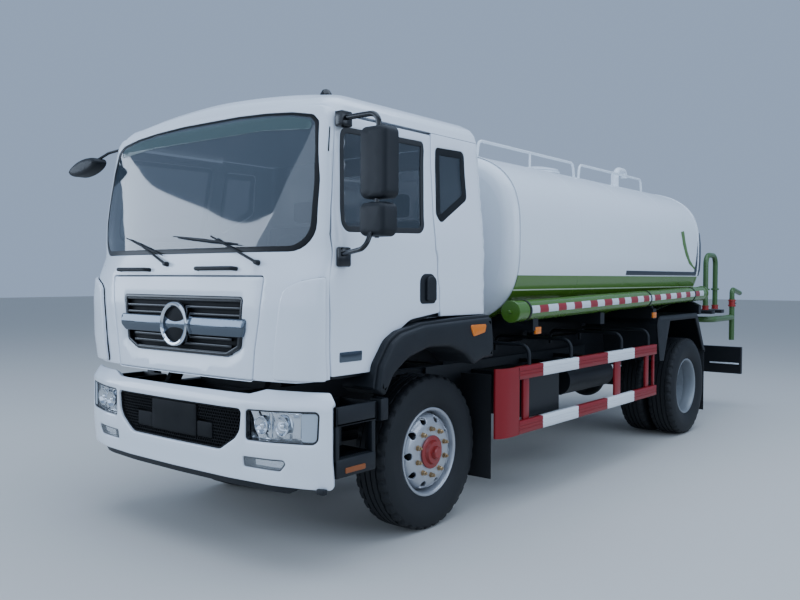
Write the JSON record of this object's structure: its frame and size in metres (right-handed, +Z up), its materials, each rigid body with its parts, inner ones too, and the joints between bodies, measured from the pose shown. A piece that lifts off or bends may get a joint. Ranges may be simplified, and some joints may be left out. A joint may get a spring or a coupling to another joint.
{
  "type": "tanker truck",
  "caption": "Two-axle cab-over water tanker truck with a rounded tank, side guards, spray pipework and a tilting cab.",
  "frame": {"origin": "middle of the length and width, on the ground", "axes": "+X forwards, +Y to the vehicle's left, +Z up"},
  "size_m": [8.27, 3, 3.002],
  "materials": {
    "cab_white": "gloss",
    "tank_white": "gloss",
    "tank_green": "gloss",
    "guard_red": "gloss",
    "rail_white": "gloss",
    "chassis_black": "satin",
    "black_plastic": "matte",
    "cast_grey": "rough",
    "steel": "satin",
    "alloy": "satin",
    "lamp_clear": "clear",
    "lamp_red": "gloss",
    "glass": "clear",
    "interior_grey": "matte",
    "seat_cloth": "woven",
    "tyre": "matte",
    "wheel_silver": "satin"
  },
  "bodies": {
    "chassis": {"frame_rails": "chassis_black", "front_axle": "chassis_black", "rear_axle": "chassis_black", "leaf_springs": "chassis_black", "engine_block": "cast_grey", "radiator": "chassis_black", "propshaft": "chassis_black", "exhaust": "steel", "fuel_tank": "alloy", "battery_and_air_tanks": "chassis_black", "front_bumper": "cab_white", "bumper_grille": "black_plastic", "front_lamps": "lamp_clear", "cab_steps": "black_plastic", "tank_shell": "tank_white", "tank_cradle": "chassis_black", "handrails": "rail_white", "tank_top_fittings": "tank_white", "side_tubes": "tank_green", "side_guards": "guard_red", "guard_brackets": "chassis_black", "mudguards": "black_plastic", "water_pump": "cast_grey", "rear_pipework": "tank_green", "rear_platform": "chassis_black", "rear_bumper": "chassis_black", "marker_lamps": "lamp_red"},
    "cab": {"cab_floor": "chassis_black", "cab_front": "cab_white", "cab_sides": "cab_white", "cab_back": "cab_white", "cab_roof": "cab_white", "cab_glass": "glass", "wipers": "black_plastic", "dashboard": "interior_grey", "seats": "seat_cloth", "fender_flares": "black_plastic"},
    "hood_flap": {"front_panel": "cab_white", "front_grille": "black_plastic"},
    "manhole": {"manhole_lid": "tank_white"},
    "door_left": {"door_panel_left": "cab_white", "door_glass_left": "glass", "mirror_left": "black_plastic"},
    "knuckle_body_left": {"knuckle_left": "chassis_black"},
    "door_right": {"door_panel_right": "cab_white", "door_glass_right": "glass", "mirror_right": "black_plastic"},
    "knuckle_body_right": {"knuckle_right": "chassis_black"},
    "wheel_body_front_left": {"tyre_front_left": "tyre", "wheel_front_left": "wheel_silver"},
    "wheel_body_front_right": {"tyre_front_right": "tyre", "wheel_front_right": "wheel_silver"},
    "wheel_body_rear_left": {"tyre_rear_left": "tyre", "wheel_rear_left": "wheel_silver"},
    "wheel_body_rear_right": {"tyre_rear_right": "tyre", "wheel_rear_right": "wheel_silver"}
  },
  "joints": [
    {"name": "cab_tilt", "type": "hinge", "parent": "chassis", "child": "cab", "pos_m": [3.94, 0, 0.72], "axis": [0, 1, 0], "range_deg": [0, 45]},
    {"name": "door_left_swing", "type": "hinge", "parent": "cab", "child": "door_left", "pos_m": [3.878, 1.1563, 1.6], "axis": [0, 0, -1], "range_deg": [0, 70]},
    {"name": "door_right_swing", "type": "hinge", "parent": "cab", "child": "door_right", "pos_m": [3.878, -1.1563, 1.6], "axis": [0, 0, 1], "range_deg": [0, 70]},
    {"name": "hood_flap_lift", "type": "hinge", "parent": "cab", "child": "hood_flap", "pos_m": [4.0549, 0, 1.726], "axis": [0, -1, 0], "range_deg": [0, 60]},
    {"name": "steer_left", "type": "hinge", "parent": "chassis", "child": "knuckle_body_left", "pos_m": [2.79, 0.79, 0.525], "axis": [0, 0, 1], "range_deg": [-36, 36]},
    {"name": "steer_right", "type": "hinge", "parent": "chassis", "child": "knuckle_body_right", "pos_m": [2.79, -0.79, 0.525], "axis": [0, 0, 1], "range_deg": [-36, 36]},
    {"name": "wheel_front_left_spin", "type": "hinge", "parent": "knuckle_body_left", "child": "wheel_body_front_left", "pos_m": [2.79, 0.917, 0.525], "axis": [0, 1, 0], "continuous": true},
    {"name": "wheel_front_right_spin", "type": "hinge", "parent": "knuckle_body_right", "child": "wheel_body_front_right", "pos_m": [2.79, -0.917, 0.525], "axis": [0, 1, 0], "continuous": true},
    {"name": "wheel_rear_left_spin", "type": "hinge", "parent": "chassis", "child": "wheel_body_rear_left", "pos_m": [-1.71, 0.915, 0.525], "axis": [0, 1, 0], "continuous": true},
    {"name": "wheel_rear_right_spin", "type": "hinge", "parent": "chassis", "child": "wheel_body_rear_right", "pos_m": [-1.71, -0.915, 0.525], "axis": [0, 1, 0], "continuous": true},
    {"name": "manhole_lid_swing", "type": "hinge", "parent": "chassis", "child": "manhole", "pos_m": [-0.729, 0, 2.83], "axis": [0, -1, 0], "range_deg": [0, 105]}
  ],
  "couplings": [
    {"joint": "steer_right", "follows": "steer_left", "ratio": 1}
  ]
}
